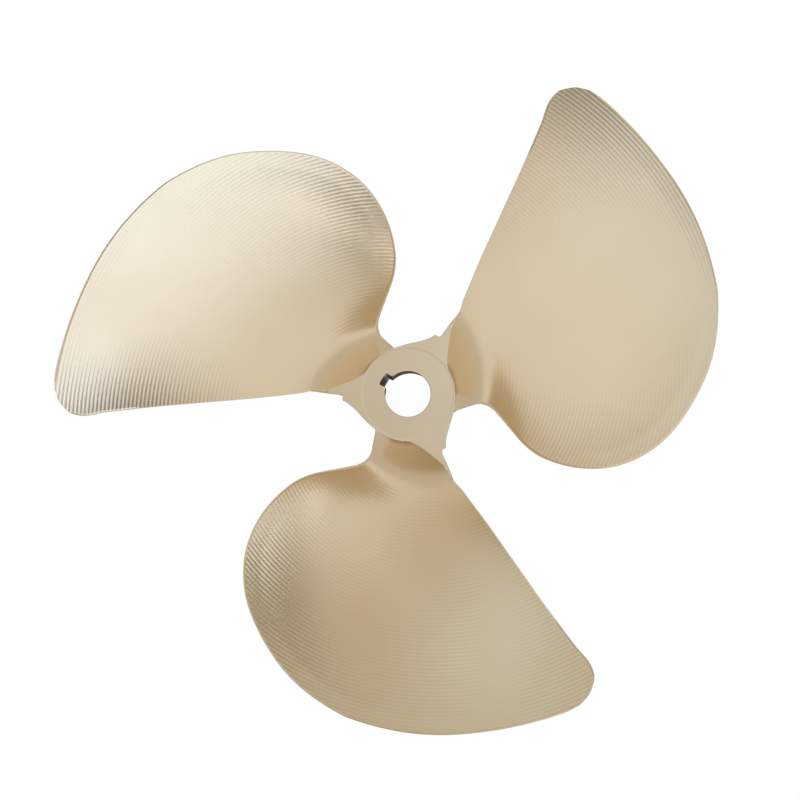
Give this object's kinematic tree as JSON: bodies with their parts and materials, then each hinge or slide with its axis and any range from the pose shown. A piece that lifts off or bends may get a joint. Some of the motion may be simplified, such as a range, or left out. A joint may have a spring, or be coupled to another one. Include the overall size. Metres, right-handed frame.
{
  "type": "ship propeller",
  "caption": "Fixed-pitch bronze ship propeller with broad skewed blades, filleted roots and a tapered, keyed bore.",
  "frame": {"origin": "centre of mass, which is on the shaft axis 36.6 mm forward of the hub's flat aft face", "axes": "+Z along the shaft axis towards the stern, so the aft hub face is up and the forward hub face stands on the floor; +X through the middle of the keyway"},
  "size_m": [0.4682, 0.4793, 0.1042],
  "materials": {
    "bronze": "machined satin"
  },
  "bodies": {
    "root": {"propeller": "bronze"}
  },
  "joints": []
}
